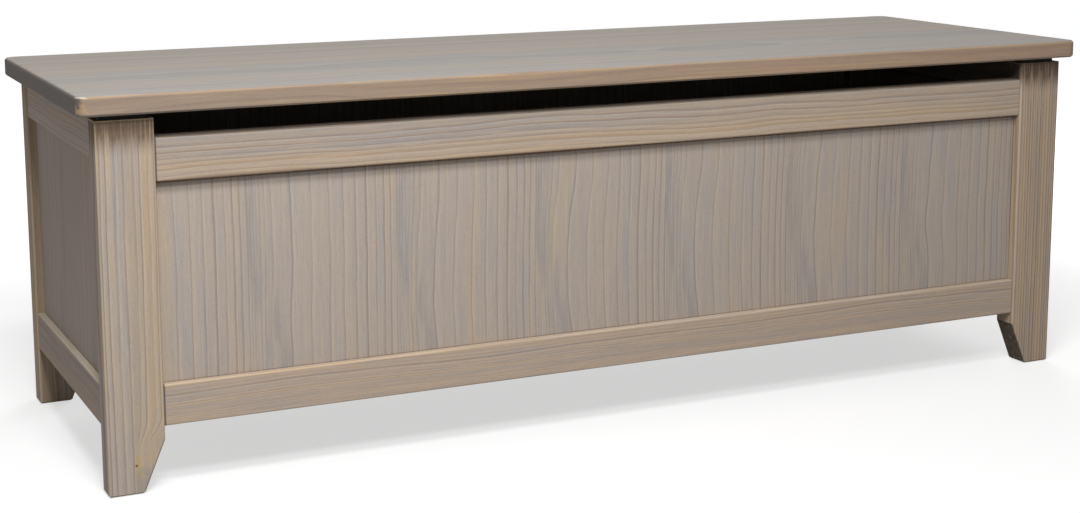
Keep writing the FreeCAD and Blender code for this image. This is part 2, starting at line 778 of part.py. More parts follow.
BRACKET_SCREW_X = total(TAB_HIGH, "dims.bracket_reach / 2")
BRACKET_SCREW_YS = around(PIVOT_Y, "dims.stay_screw_pitch")


def make_stay_bracket():
    """Angle bracket under the lid: flange with two screws, tab that carries the rivet."""
    body = new_body("stay_lid_bracket")
    flange_low = less(LID_UNDER, "dims.stay_thickness")
    block(body, "flange", rectangle(
        TAB_LOW, total(TAB_HIGH, "dims.bracket_reach"),
        *around(PIVOT_Y, "dims.bracket_width")), flange_low, LID_UNDER)
    low_y, high_y = around(PIVOT_Y, "dims.tab_width")
    tip_z = less(PIVOT_Z, "dims.tab_width / 2")
    bevel = "dims.tab_bevel"
    tab = new_sketch(body, "tab_outline", "YZ_Plane", TAB_LOW)
    draw_outline(tab, [
        (low_y, flange_low), (low_y, total(tip_z, bevel)), (total(low_y, bevel), tip_z),
        (less(high_y, bevel), tip_z), (high_y, total(tip_z, bevel)), (high_y, flange_low),
    ])
    extrude(body, "tab", tab, "dims.stay_thickness")
    rod(body, "rivet_hole", PIVOT_Y, PIVOT_Z, "dims.rivet_radius", TAB_LOW, TAB_HIGH, cut=True)
    screw_holes(body, [(BRACKET_SCREW_X, along_y) for along_y in BRACKET_SCREW_YS], "XY_Plane")


PLATE_HIGH = total(STAY_WALL, "dims.stay_plate_thickness")
PLATE_SCREW_YS = around(STUD_Y, "dims.stay_screw_pitch")


def make_stay_plate():
    """Plate on the side rail with the hexagon-headed stud that the arm slides over."""
    body = new_body("stay_stud_plate")
    block(body, "plate", rectangle(
        STAY_WALL, PLATE_HIGH, *around(STUD_Y, "dims.stay_plate_length")),
        *around(STUD_Z, "dims.stay_plate_height"))
    rod(body, "stud", STUD_Y, STUD_Z, "dims.stay_stud_radius", PLATE_HIGH, TAB_LOW)
    head = new_sketch(body, "head_outline", "YZ_Plane", TAB_LOW)
    draw_outline(head, [
        ("{0} + dims.stay_head_radius * cos({1})".format(STUD_Y, angle),
         "{0} + dims.stay_head_radius * sin({1})".format(STUD_Z, angle))
        for angle in range(0, 360, 360 // STUD_HEAD_CORNERS)])
    extrude(body, "head", head, "dims.stay_head_height")
    screw_holes(body, [(along_y, STUD_Z) for along_y in PLATE_SCREW_YS], "YZ_Plane")


def make_hardware_screws():
    """Short screws of hinges and stay: one group in the lid and one in the case."""
    lid_group = new_body("lid_hardware_screws")
    case_group = new_body("case_hardware_screws")
    for side in (LEFT, RIGHT):
        hinge_screws(lid_group, side, LID_LEAF_LOW, 0)
        hinge_screws(case_group, side, CASE_LEAF_TOP, 180)
    bracket_places = [(BRACKET_SCREW_X, less(LID_UNDER, "dims.stay_thickness"),
                       "-1 * " + along_y) for along_y in BRACKET_SCREW_YS]
    screws(lid_group, "stay_screw", bracket_places, "dims.stay_thickness", "XZ_Plane", 0)
    plate_places = [(PLATE_HIGH, along_y, STUD_Z) for along_y in PLATE_SCREW_YS]
    screws(case_group, "stay_screw", plate_places, "dims.stay_plate_thickness", "XY_Plane", 90)


# ---------------------------------------------------------------- assembly

def build():
    for side in (LEFT, RIGHT):
        for end in (FRONT, BACK):
            make_post(side, end)
    for end in (FRONT, BACK):
        for level in LEVELS:
            make_long_rail(end, level)
        make_long_panel(end)
        make_long_cleat(end)
    for side in (LEFT, RIGHT):
        for level in LEVELS:
            make_side_rail(side, level)
        make_side_panel(side)
        make_side_cleat(side)
    make_bottom()
    make_bearer()
    make_cleat_brads()
    make_lid()
    for side in (LEFT, RIGHT):
        make_batten(side)
        make_hinge(side)
    make_batten_brads()
    make_buffers()
    make_stay_arm()
    make_stay_rivet()
    make_stay_bracket()
    make_stay_plate()
    make_hardware_screws()


def check():
    """Stop on a failed feature, an empty cut or a bad shape."""
    doc.recompute()
    for item in doc.Objects:
        if "Invalid" in item.State or "Error" in item.State:
            raise RuntimeError("{0} failed: {1}".format(item.Label, item.State))
        if item.TypeId == "PartDesign::Pocket":
            removed = item.BaseFeature.Shape.Volume - item.Shape.Volume
            if removed < 1:
                raise RuntimeError("{0} of {1} cuts nothing".format(
                    item.Label, item.getParentGeoFeatureGroup().Label))
    for node in nodes:
        if node.Shape.isNull() or not node.Shape.isValid():
            raise RuntimeError(node.Label + " has no valid shape")


def write():
    os.makedirs("parts", exist_ok=True)
    for node in nodes:
        node.Shape.exportStep("parts/" + node.Label + ".step")


fill_sheet()
build()
check()
write()
print(len(nodes), "nodes")
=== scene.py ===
"""Looks of a blanket chest in grey-washed pine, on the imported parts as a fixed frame.

Lengths are in metres, as in the frame, except in the wood's own coordinates and in the values
that end in _MM, which are in millimetres.
"""
import math

import bpy
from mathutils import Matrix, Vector


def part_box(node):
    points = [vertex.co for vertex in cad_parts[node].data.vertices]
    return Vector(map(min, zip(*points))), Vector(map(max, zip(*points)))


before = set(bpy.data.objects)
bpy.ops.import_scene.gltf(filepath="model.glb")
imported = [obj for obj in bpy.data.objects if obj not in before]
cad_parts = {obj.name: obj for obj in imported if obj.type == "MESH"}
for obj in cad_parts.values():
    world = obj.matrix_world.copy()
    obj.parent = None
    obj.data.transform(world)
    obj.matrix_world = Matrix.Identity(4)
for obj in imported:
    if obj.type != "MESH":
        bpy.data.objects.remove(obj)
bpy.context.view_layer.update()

X, Y, Z = 0, 1, 2
MM = 1000.0


def srgb(red, green, blue):
    """Linear colour, with alpha, from the 0-255 values that a screen shows."""
    def linear(value):
        value /= 255
        return value / 12.92 if value <= 0.04045 else ((value + 0.055) / 1.055) ** 2.4
    return (linear(red), linear(green), linear(blue), 1.0)


# ------------------------------------------------------------------ shader building

# A Mix node has sockets for every kind of value. These are the ones for colours.
MIX_FIRST, MIX_SECOND, MIX_RESULT = 6, 7, 2


class Shader:
    """The node tree of a material or world: each method adds a node and returns its output."""

    def __init__(self, owner):
        owner.use_nodes = True
        self.owner = owner
        self.tree = owner.node_tree
        self.tree.nodes.clear()

    def node(self, kind, **settings):
        made = self.tree.nodes.new(kind)
        for key, value in settings.items():
            setattr(made, key, value)
        return made

    def feed(self, socket, value):
        """Link an output, or set a plain value."""
        if isinstance(value, bpy.types.NodeSocket):
            self.tree.links.new(value, socket)
        else:
            socket.default_value = value

    def coordinates(self, kind):
        return self.node("ShaderNodeTexCoord").outputs[kind]

    def math(self, operation, *values):
        made = self.node("ShaderNodeMath", operation=operation)
        for socket, value in zip(made.inputs, values):
            self.feed(socket, value)
        return made.outputs[0]

    def add(self, first, second):
        return self.math("ADD", first, second)

    def times(self, first, second):
        return self.math("MULTIPLY", first, second)

    def hypotenuse(self, first, second):
        return self.math("SQRT", self.add(self.math("POWER", first, 2.0),
                                          self.math("POWER", second, 2.0)))

    def vector(self, x, y, z):
        made = self.node("ShaderNodeCombineXYZ")
        for socket, value in zip(made.inputs, (x, y, z)):
            self.feed(socket, value)
        return made.outputs[0]

    def split(self, vector):
        made = self.node("ShaderNodeSeparateXYZ")
        self.feed(made.inputs[0], vector)
        return list(made.outputs)

    def noise(self, vector, scale=1.0, detail=2.0, roughness=0.5):
        """Noise from 0 to 1, and its three colour channels, over a vector."""
        made = self.node("ShaderNodeTexNoise", noise_dimensions="3D")
        self.feed(made.inputs["Vector"], vector)
        made.inputs["Scale"].default_value = scale
        made.inputs["Detail"].default_value = detail
        made.inputs["Roughness"].default_value = roughness
        return made.outputs["Fac"], made.outputs["Color"]

    def chance(self, value):
        """Three random numbers from 0 to 1 that stay the same while value does."""
        made = self.node("ShaderNodeTexWhiteNoise", noise_dimensions="1D")
        self.feed(made.inputs["W"], value)
        return self.split(made.outputs["Color"])

    def ramp(self, value, low, high, start=0.0, finish=1.0):
        """Smooth step from start to finish as value goes from low to high."""
        made = self.node("ShaderNodeMapRange", interpolation_type="SMOOTHSTEP")
        for socket, number in zip(made.inputs, (value, low, high, start, finish)):
            self.feed(socket, number)
        return made.outputs[0]

    def mix(self, first, second, share):
        """Colour that goes from first to second as share goes from 0 to 1."""
        made = self.node("ShaderNodeMix", data_type="RGBA")
        self.feed(made.inputs["Factor"], share)
        self.feed(made.inputs[MIX_FIRST], first)
        self.feed(made.inputs[MIX_SECOND], second)
        return made.outputs[MIX_RESULT]

    def scale_colour(self, colour, factor):
        made = self.node("ShaderNodeVectorMath", operation="SCALE")
        self.feed(made.inputs[0], colour)
        self.feed(made.inputs["Scale"], factor)
        return made.outputs[0]

    def bump(self, height, distance, strength):
        made = self.node("ShaderNodeBump")
        made.inputs["Strength"].default_value = strength
        made.inputs["Distance"].default_value = distance
        self.feed(made.inputs["Height"], height)
        return made.outputs[0]

    def close(self, surface, output="ShaderNodeOutputMaterial"):
        """Make surface what the tree gives, and return the tree's owner."""
        self.feed(self.node(output).inputs["Surface"], surface)
        return self.owner

    def principled(self, **inputs):
        """Close the material with a principled surface."""
        made = self.node("ShaderNodeBsdfPrincipled")
        for name, value in inputs.items():
            self.feed(made.inputs[name.replace("_", " ")], value)
        return self.close(made.outputs[0])


def new_material(name):
    return Shader(bpy.data.materials.new(name))


# ------------------------------------------------------------------ grey-washed pine

WASH = srgb(172, 160, 150)
BLUE_WASH = srgb(159, 155, 155)
BLUE_RING = srgb(147, 141, 140)
WARM_WASH = srgb(186, 164, 134)
EARLY_WOOD = srgb(191, 175, 161)
OCHRE_BAND = srgb(180, 152, 118)
BROWN_LINE = srgb(138, 113, 97)
BLUE_LINE = srgb(120, 116, 115)
ARRIS = srgb(208, 182, 144)
# pale painted sheen that the worn arris of a long board turns to towards the right
ARRIS_PAINTED_SHEEN = srgb(190, 182, 172)
# stain in the joints at a rail's ends, and painted shade along the ledge under a panel
JOINT_STAIN_AND_SHADE = srgb(84, 78, 80)
# painted shade in a panel's grooves under its top rail and beside its posts
PAINTED_GROOVE_SHADE = srgb(92, 66, 48)
BLUE_STAIN = srgb(135, 133, 133)
KNOT = srgb(96, 48, 30)
KNOT_HALO = srgb(186, 160, 118)
# painted shade under things and beside the lid; on a post's top it is also end grain dark with stain
STAIN_AND_PAINTED_SHADE = srgb(66, 57, 50)
# painted glint on the upper rounding of the lid's corners
PAINTED_GLINT = srgb(236, 230, 220)
# paler ochre on a post's inner flank, partly painted light against the shade there
FLANK_TINT_AND_PAINTED_LIGHT = srgb(172, 150, 120)

ROUGHNESS = 0.75
GLOSS = 0.1
FIBRE_HEIGHT = 0.00008

# Noise in streaks along the grain: their length and width in millimetres, a shift that tells
# them apart, and where it isn't plain, the noise's detail and roughness.
FIBRE = (22, 0.8, 0.0, 3.0, 0.62)
WOOL = (3.2, 0.75, 5.0, 1.0)
TUFTS = (110, 2.4, 9.0, 3.0, 0.6)
PORES = (7, 0.55, 21.0, 1.0)
ARRIS_WEAR = (120, 30, 14.0)
BLUE_PATCHES = (230, 15, 3.0, 3.0, 0.55)
WARM_PATCHES = (320, 22, 8.0)
EDGE_STREAKS = (300, 6, 23.0)
CORNER_WEAR = (14, 8, 17.0)
KNOT_PATCHES = (9, 6, 27.0)
# streaks in the painted shadow of the lid near a post's top
LID_SHADOW_STREAKS = (60, 5.0, 31.0)
VENEER_BLUE = (120, 14, 3.0, 3.0, 0.55)
VENEER_WARM = (260, 30, 8.0)

ARRIS_MM = 2.2          # how far the wear reaches in from an edge
# on long boards the worn arris turns to a pale painted sheen over this reach
PALING_MM = 250.0       # a long arris pales from here left of the middle to here right of it
DRIFT_LENGTH_MM, DRIFT_CROSS_MM = 260, 110      # size of the grain's slow wander
SEAM_START_MM = (-0.4, 0.5)     # where the stain in a joint starts, and where it is full

# The pairs that follow say where something is full and where it ends.
GLUE_LINE_MM = (0.1, 0.9)
GATHERED_MM = (0.0, 48.0)       # height over the knot
PLAIN_MM = (-2.0, 30.0)
UNDER_KNOT_MM = (-12.0, 4.0)
KNOT_HALO_MM = (3.0, 26.0)      # distance from the knot
KNOT_MM = (0.7, 1.7)
# where the painted shadow of the lid is full below a post's top, and where it ends
LID_SHADOW_TOP_MM = (5.0, 38.0)     # distance below a post's top
# where the painted shade on a post's flank under the lid is full, and where it ends
HIDDEN_TOP_MM = (17.0, 24.0)
# widths of the painted shade on a panel beside its posts, under its rail and over its ledge
POST_LINE_MM = (0.3, 1.8)       # distance on a panel from the post, rail or ledge beside it
RAIL_LINE_MM = (1.3, 3.6)
LEDGE_LINE_MM = (0.2, 1.6)

SECOND_STRIP_SEED = 5.3
SMUDGE_SEED = 3.3

LEAF_MM = 159.0
# Where the growth lines of one veneer leaf run, as shares of its width: they crowd at its
# left edge, open out past its crown and close again slowly.
LEAF_LINES = (0.0, 0.02, 0.038, 0.056, 0.076, 0.1, 0.135, 0.26, 0.40, 0.53, 0.63, 0.715, 0.79,
              0.855, 0.91, 0.955, 1.0)
LEAF_RINGS = len(LEAF_LINES) - 1


class Board:
    """Where a piece of wood lies: its box and its grain, thickness and width axes."""

    def __init__(self, name, grain):
        low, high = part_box(name)
        self.centre = (low + high) / 2
        self.half = (high - low) / 2
        others = [axis for axis in (X, Y, Z) if axis != grain]
        others.sort(key=lambda axis: self.half[axis])
        self.grain = grain
        self.thickness, self.width = others


def board_coordinates(shader, board):
    """Distances from the board's middle in millimetres: along X, Y and Z."""
    moved = shader.node("ShaderNodeVectorMath", operation="SUBTRACT")
    shader.feed(moved.inputs[0], shader.coordinates("Object"))
    moved.inputs[1].default_value = board.centre
    return shader.split(shader.scale_colour(moved.outputs[0], MM))


def arris_mask(shader, board, place):
    """1 on the outer edges of the board's box, fading inwards."""
    inside = [shader.math("SUBTRACT", board.half[axis] * MM,
                          shader.math("ABSOLUTE", place[axis])) for axis in (X, Y, Z)]
    least = shader.math("MINIMUM", inside[0], inside[1])
    most = shader.math("MAXIMUM", inside[0], inside[1])
    middle = shader.math("MAXIMUM", least, shader.math("MINIMUM", most, inside[2]))
    return shader.ramp(middle, 0.0, ARRIS_MM, 1.0, 0.0)


class Wood:
    """The shader of one board, with coordinates along, through and across it."""

    def __init__(self, name, grain, seed):
        self.board = Board(name, grain)
        self.shader = new_material(name + "_pine")
        self.place = board_coordinates(self.shader, self.board)
        self.along = self.place[self.board.grain]
        self.thick = self.place[self.board.thickness]
        self.wide = self.place[self.board.width]
        self.half_length = self.board.half[grain] * MM
        self.seed = seed

    def normal(self):
        return self.shader.split(self.shader.coordinates("Normal"))

    def streaks(self, length_mm, cross_mm, shift, detail=2.0, roughness=0.5):
        """Noise in streaks length_mm long and cross_mm across."""
        shader = self.shader
        vector = shader.vector(
            shader.math("MULTIPLY_ADD", self.along, 1 / length_mm, self.seed + shift),
            shader.times(self.thick, 1 / cross_mm), shader.times(self.wide, 1 / cross_mm))
        return shader.noise(vector, detail=detail, roughness=roughness)[0]

    def drift(self, sway, seed):
        """Slow wander of the grain, in millimetres through and across the board."""
        shader = self.shader
        _, wander = shader.noise(shader.vector(
            shader.math("MULTIPLY_ADD", self.along, 1 / DRIFT_LENGTH_MM, seed),
            shader.times(self.thick, 1 / DRIFT_CROSS_MM),
            shader.times(self.wide, 1 / DRIFT_CROSS_MM)))
        through, across, _ = shader.split(wander)
        return (shader.times(shader.add(through, -0.5), 2 * sway),
                shader.times(shader.add(across, -0.5), 2 * sway))

    def knot_distance(self, knot):
        """How far a point is from a knot, and how high above it, in millimetres."""
        above = self.shader.add(self.along, -knot[0])
        beside = self.shader.add(self.wide, -knot[1])
        return self.shader.hypotenuse(above, beside), above

    def with_painted_shading(self, colour, place, reach, painted_shading):
        """Colour with painted light and shade, lighter or darker from one end of the board to the
        other.
        """
        return self.shader.scale_colour(colour, self.shader.ramp(place, -reach, reach, *painted_shading))


def solid_rings(wood, pith, spacing, sway, uneven, strips, second, knot):
    """Ring count in a sawn board and the seed of its rings."""
    shader = wood.shader
    pith_thick, pith_wide = pith
    ring_seed = wood.seed
    tightness = 1 / spacing
    if strips:
        other_thick, other_wide = strips["pith"]
        pith_thick = shader.math("MULTIPLY_ADD", second, other_thick - pith_thick, pith_thick)
        pith_wide = shader.math("MULTIPLY_ADD", second, other_wide - pith_wide, pith_wide)
        tightness = shader.math("MULTIPLY_ADD", second, 1 / strips["spacing"] - tightness,
                                tightness)
        ring_seed = shader.math("MULTIPLY_ADD", second, SECOND_STRIP_SEED, ring_seed)
    through, across = wood.drift(sway, ring_seed)
    across = shader.add(across, wood.wide)
    if knot:
        _, above = wood.knot_distance(knot)
        gathered = shader.math("DIVIDE", 1.0, shader.ramp(above, *GATHERED_MM, 0.08, 1.0))
        gathered = shader.times(second, shader.add(gathered, -1.0))
        across = shader.math("MULTIPLY_ADD", shader.add(across, -knot[1]), gathered, across)
    radius = shader.hypotenuse(
        shader.math("SUBTRACT", shader.add(through, wood.thick), pith_thick),
        shader.math("SUBTRACT", across, pith_wide))
    even = shader.times(radius, tightness)
    change, _ = shader.noise(shader.vector(shader.times(even, 0.4), ring_seed, 0.0), detail=1.0)
    return shader.math("MULTIPLY_ADD", change, uneven, even), ring_seed


def leaf_rings(wood, first_mm):
    """Ring count in slip-matched veneer, and the place across its leaf from 0 to 1."""
    shader = wood.shader
    across = shader.add(wood.wide, -first_mm)
    leaves = shader.times(across, 1 / LEAF_MM)

    # the lines wander most at the crown, a little differently from leaf to leaf
    slow_change = shader.times(shader.math("FLOOR", leaves), 0.14)
    wave, _ = shader.noise(shader.vector(
        shader.times(wood.along, 1 / 140), slow_change, wood.seed), detail=1.4)
    plain = shader.math("FRACT", leaves)
    crown = shader.times(shader.ramp(plain, 0.02, 0.22),
                         shader.ramp(plain, 0.24, 0.72, 1.0, 0.14))
    bend = shader.times(shader.times(shader.add(wave, -0.5), 32.0),
                        shader.math("MULTIPLY_ADD", crown, 0.85, 0.15))
    fine, _ = shader.noise(shader.vector(shader.times(wood.along, 1 / 40),
                                         shader.times(across, 1 / 30), wood.seed + 2),
                           detail=1.0)
    moved = shader.add(shader.add(across, bend), shader.times(shader.add(fine, -0.5), 1.6))

    # the curve spaces the lines across a leaf as LEAF_LINES says
    total = shader.times(moved, 1 / LEAF_MM)
    whole = shader.math("FLOOR", total)
    part = shader.math("FRACT", total)
    curve = shader.node("ShaderNodeFloatCurve")
    points = curve.mapping.curves[0].points
    for ring in range(1, LEAF_RINGS):
        points.new(LEAF_LINES[ring], ring / LEAF_RINGS)
    for point in points:
        point.handle_type = "AUTO_CLAMPED"
    curve.mapping.update()
    shader.feed(curve.inputs["Value"], part)
    rings = shader.times(shader.add(curve.outputs[0], whole), float(LEAF_RINGS))
    return rings, part


def line_strengths(shader, rings, seed, repeat=None):
    """Three random numbers for the ring that a point lies in."""
    index = shader.math("FLOOR", rings)
    if repeat:
        index = shader.math("FLOORED_MODULO", index, float(repeat))
    return shader.chance(shader.add(index, seed))


def finish_pine(wood, colour, relief, arris=1.0, seams=(), roughness=ROUGHNESS, gloss=GLOSS,
                blotches=1.0, bluish=1.0):
    """Fibre, worn arrises and stained joints over the figure, and the closed material.

    relief    where the dark lines are, which lie a little lower
    arris     how far the edges are worn; on boards along X the wear turns to a pale painted sheen towards the right
    seams     shoulders of the joints along the board, with the width of stain in each
    blotches  how strong the small patches of thin and thick wash are
    bluish    how much of the blue there is
    """
    shader = wood.shader
    fibre, wool, tufts, pores = (wood.streaks(*kind) for kind in (FIBRE, WOOL, TUFTS, PORES))
    colour = shader.mix(colour, WARM_WASH, shader.ramp(tufts, 0.52, 0.72, 0.0, 0.5 * blotches))
    colour = shader.mix(colour, BLUE_WASH, shader.times(
        shader.ramp(tufts, 0.3, 0.46, 0.4 * blotches, 0.0), bluish))
    shade = shader.add(shader.ramp(fibre, 0.25, 0.75, 0.95, 1.05),
                       shader.ramp(wool, 0.25, 0.75, -0.03, 0.03))
    shade = shader.add(shade, shader.ramp(tufts, 0.3, 0.7, -0.03, 0.03))
    shade = shader.add(shade, shader.ramp(pores, 0.62, 0.74, 0.0, -0.13))
    colour = shader.scale_colour(colour, shade)
    if arris:
        wear = shader.ramp(wood.streaks(*ARRIS_WEAR), 0.3, 0.65, 0.4 * arris, 0.9 * arris)
        worn = shader.times(arris_mask(shader, wood.board, wood.place), wear)
        # on boards along X the worn arris turns to a pale painted sheen towards the right
        rubbed = ARRIS
        if wood.board.grain == X:
            rubbed = shader.mix(ARRIS, ARRIS_PAINTED_SHEEN,
                                shader.ramp(wood.along, -PALING_MM, PALING_MM))
        colour = shader.mix(colour, rubbed, shader.math("MINIMUM", worn, 0.95))
    for shoulder, width in seams:
        outward = shader.times(wood.along, math.copysign(1.0, shoulder))
        past = shader.math("SUBTRACT", outward, abs(shoulder) - width)
        colour = shader.mix(colour, JOINT_STAIN_AND_SHADE, shader.ramp(past, *SEAM_START_MM, 0.0, 0.85))
    height = shader.add(shader.times(relief, -0.25), shader.times(fibre, 0.8))
    satin = shader.ramp(fibre, 0.2, 0.8, roughness - 0.05, roughness + 0.07)
    return shader.principled(Base_Color=colour, Roughness=satin, Specular_IOR_Level=gloss,
                             Normal=shader.bump(height, FIBRE_HEIGHT, 0.4))


def washed_strips(wood, tints, glued):
    """Washes side by side across a board, with glue lines or running into each other."""
    shader = wood.shader
    width = 2 * wood.board.half[wood.board.width] * MM
    place = shader.math("MULTIPLY_ADD", wood.wide, 1 / width, 0.5)
    choice = shader.node("ShaderNodeValToRGB")
    choice.color_ramp.interpolation = "CONSTANT" if glued else "EASE"
    elements = choice.color_ramp.elements
    elements.remove(elements[1])
    for number, tint in enumerate(tints):
        element = elements[0] if number == 0 else elements.new(number / len(tints))
        element.color = tint
    shader.feed(choice.inputs[0], place)
    colour = choice.outputs[0]
    if glued:
        off_joint = shader.math("PINGPONG", shader.times(place, float(len(tints))), 0.5)
        off_joint = shader.times(off_joint, width / len(tints))
        colour = shader.mix(colour, BLUE_LINE,
                            shader.ramp(off_joint, *GLUE_LINE_MM, 0.45, 0.0))
    return colour


def edged(wood, colour, contrast, edges):
    """A wide board's long edges and ends, with an ochre arris, rubbed corners and a painted glint on
    each corner's upper rounding.
    """
    shader = wood.shader
    normal = wood.normal()
    on_edge, on_end = (shader.ramp(shader.math("ABSOLUTE", normal[axis]), 0.45, 0.8)
                       for axis in (wood.board.width, wood.board.grain))
    long_edge = shader.mix(edges[0], edges[1],
                           shader.ramp(wood.along, -wood.half_length, wood.half_length))
    for facing, tint, more in ((on_edge, long_edge, 0.27), (on_end, edges[2], -0.15)):
        colour = shader.mix(colour, tint, shader.times(facing, 0.9))
        contrast = shader.math("MULTIPLY_ADD", facing, more, contrast)
    slanted = shader.ramp(normal[Z], 0.3, 0.5)
    streak = shader.ramp(wood.streaks(*EDGE_STREAKS), 0.5, 0.66, 0.0, 0.6)
    upper = shader.times(slanted, shader.ramp(normal[Z], 0.85, 0.97, 0.5, 0.0))
    colour = shader.mix(colour, OCHRE_BAND, shader.times(
        shader.math("MAXIMUM", streak, upper), on_edge))
    corner = shader.math("ABSOLUTE", shader.times(normal[X], normal[Y]))
    rubbed = shader.times(shader.ramp(corner, 0.2, 0.42),
                          shader.ramp(wood.streaks(*CORNER_WEAR), 0.45, 0.6, 0.0, 0.7))
    colour = shader.mix(colour, OCHRE_BAND, rubbed)
    # painted highlight on the upper rounding of each corner
    glint = shader.times(shader.ramp(corner, 0.12, 0.26), shader.times(
        slanted, shader.ramp(normal[Z], 0.7, 0.85, 1.0, 0.0)))
    return shader.mix(colour, PAINTED_GLINT, shader.times(glint, 0.55)), contrast


def knotted(wood, colour, knot, second, below):
    """A small knot with its halo, and the plain wood under it, in the second strip."""
    shader = wood.shader
    near, above = wood.knot_distance(knot)
    under = shader.times(second, shader.ramp(above, *UNDER_KNOT_MM, 0.7, 0.0))
    colour = shader.mix(colour, below, under)
    halo = shader.times(shader.ramp(near, *KNOT_HALO_MM, 0.9, 0.0),
                        shader.ramp(wood.streaks(*KNOT_PATCHES), 0.4, 0.6))
    colour = shader.mix(colour, KNOT_HALO, shader.times(halo, second))
    return shader.mix(colour, KNOT, shader.ramp(near, *KNOT_MM, 0.95, 0.0))


def paint_post_shading(wood, colour, lid_shadow, lid_shadow_tint):
    """Painted light and shade on a post: a paler inner flank, painted shade on the faces that look
    down, on its top and flank beside the lid, and the painted shadow of the lid near its top; the
    top is also end grain dark with stain.
    """
    shader = wood.shader
    normal = wood.normal()
    below_top = shader.math("SUBTRACT", wood.half_length, wood.along)
    inward = shader.times(normal[X], -1.0 if wood.board.centre.x > 0 else 1.0)
    flank = shader.ramp(inward, 0.8, 0.97)
    # painted light: a paler ochre on the inner flank, against its shade
    colour = shader.mix(colour, FLANK_TINT_AND_PAINTED_LIGHT, shader.times(flank, 0.6))
    # painted shade on the faces that look down, such as a tapered foot
    colour = shader.mix(colour, STAIN_AND_PAINTED_SHADE, shader.ramp(normal[Z], -0.36, -0.12, 0.92, 0.0))
    # painted shadow of the lid, in streaks, full near the top and gone further down
    painted_shadow = shader.ramp(wood.streaks(*LID_SHADOW_STREAKS), 0.2, 0.8, 0.5 * lid_shadow, 1.4 * lid_shadow)
    painted_shadow = shader.times(painted_shadow, shader.ramp(below_top, *LID_SHADOW_TOP_MM, 1.0, 0.0))
    colour = shader.mix(colour, lid_shadow_tint, shader.math("MINIMUM", painted_shadow, 0.95))
    # painted shade on the post's top and on its flank just under the lid; the top is also end grain
    # dark with stain
    hidden = shader.math("MAXIMUM", shader.ramp(normal[Z], 0.7, 0.9), shader.times(
        flank, shader.ramp(below_top, *HIDDEN_TOP_MM, 1.0, 0.0)))
    return shader.mix(colour, STAIN_AND_PAINTED_SHADE, shader.times(hidden, 0.9))


